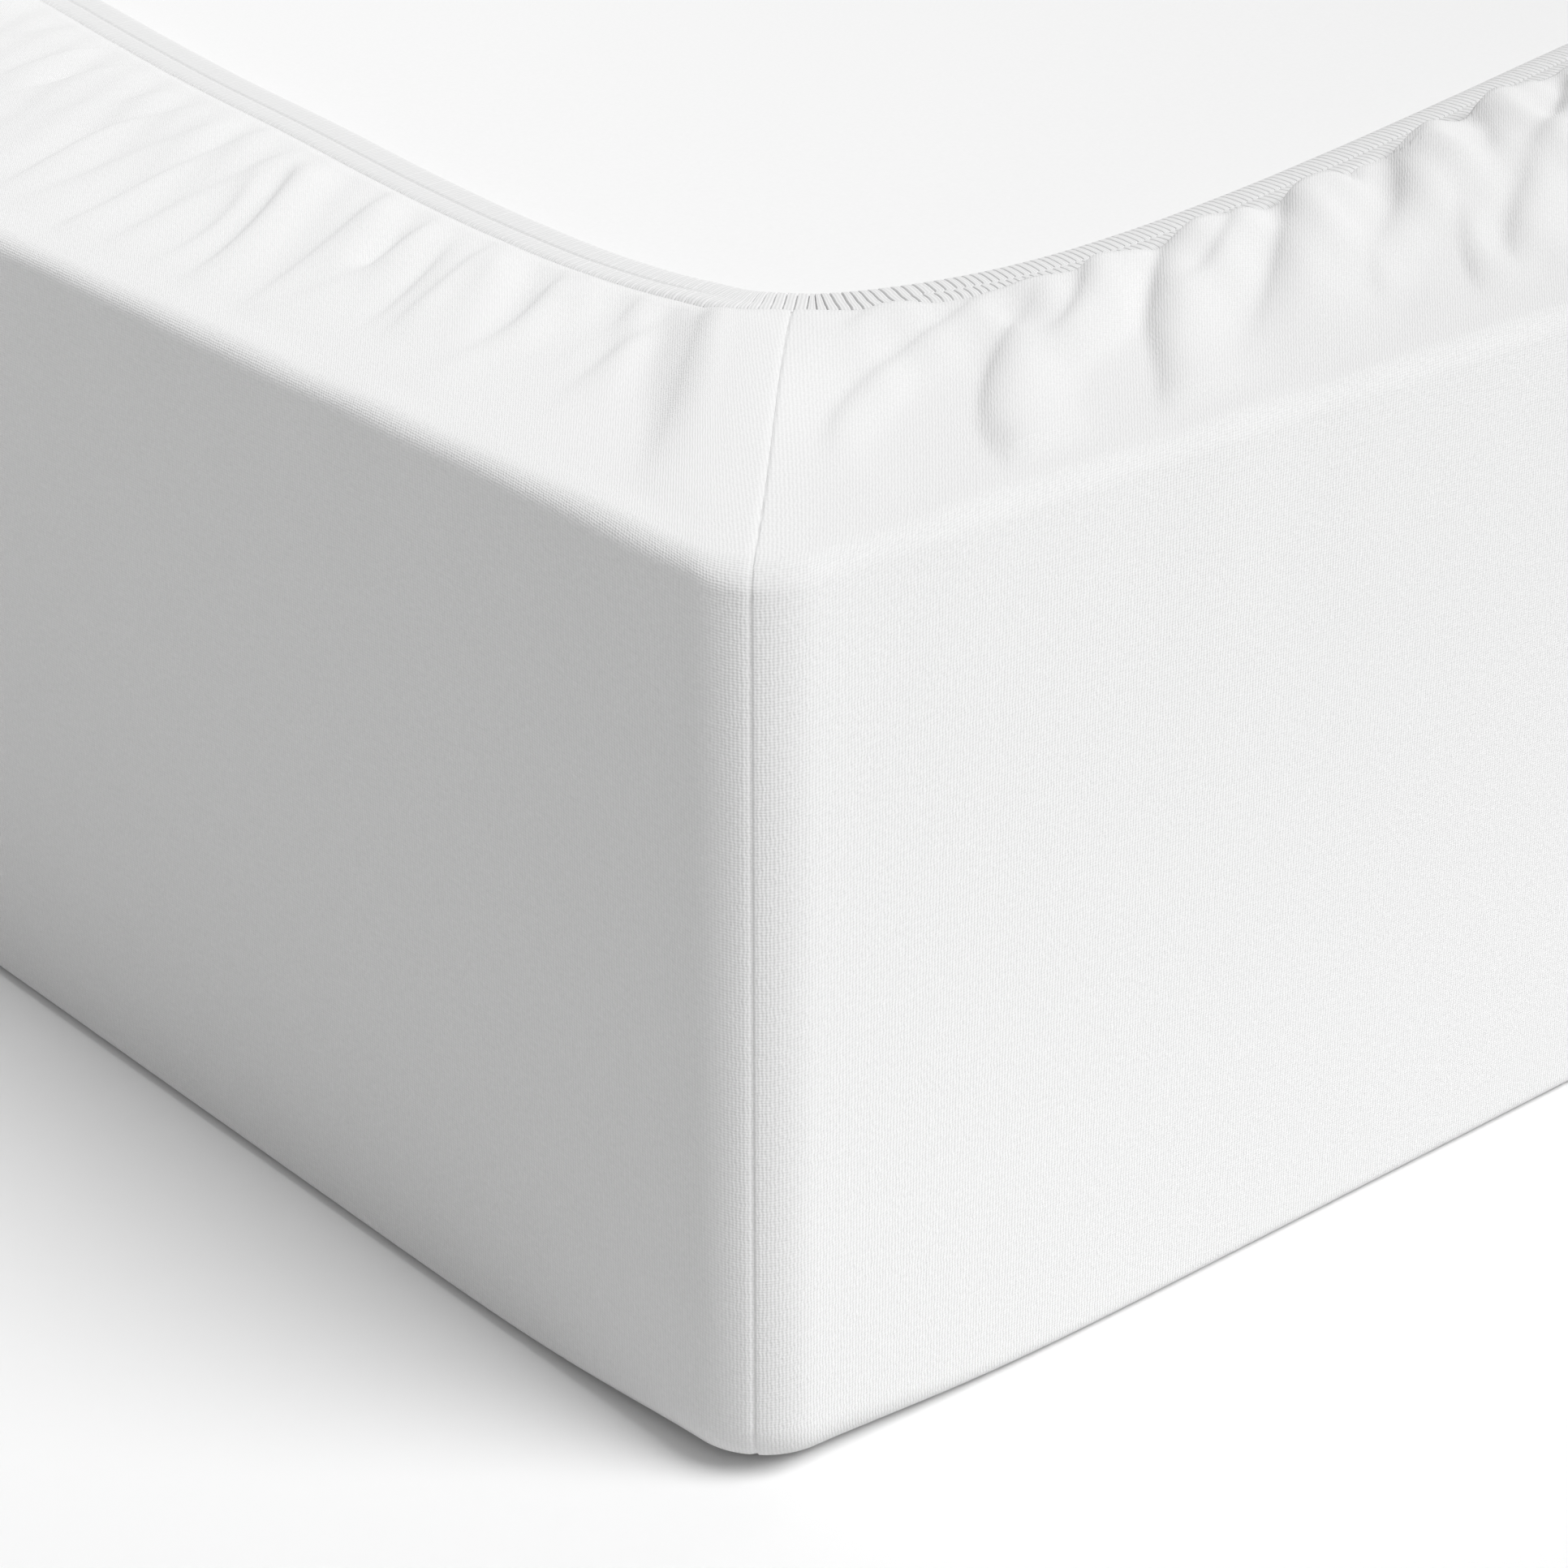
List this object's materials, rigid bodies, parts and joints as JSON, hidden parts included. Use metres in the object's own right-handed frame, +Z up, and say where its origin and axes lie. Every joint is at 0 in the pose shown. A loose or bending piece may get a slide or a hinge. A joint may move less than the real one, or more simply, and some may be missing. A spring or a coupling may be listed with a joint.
{
  "type": "fitted sheet on a mattress",
  "caption": "White fitted sheet drawn over a plain mattress that lies underside up, its border tucked in and gathered by an elastic band round the open mouth.",
  "frame": {"origin": "centre of the part on the floor, where the sheet's sleeping panel lies", "axes": "+X along the long sides, +Y along the short sides, +Z up, from the sleeping panel to the mattress's underside"},
  "size_m": [2, 1.4, 0.26],
  "materials": {
    "sheet_cloth": "matt white cotton knit",
    "elastic_band": "white ribbed elastic, stitched in two rows",
    "mattress_ticking": "plain white ticking"
  },
  "bodies": {
    "root": {"sheet_cloth": "sheet_cloth", "elastic_band": "elastic_band", "mattress": "mattress_ticking"}
  },
  "joints": []
}
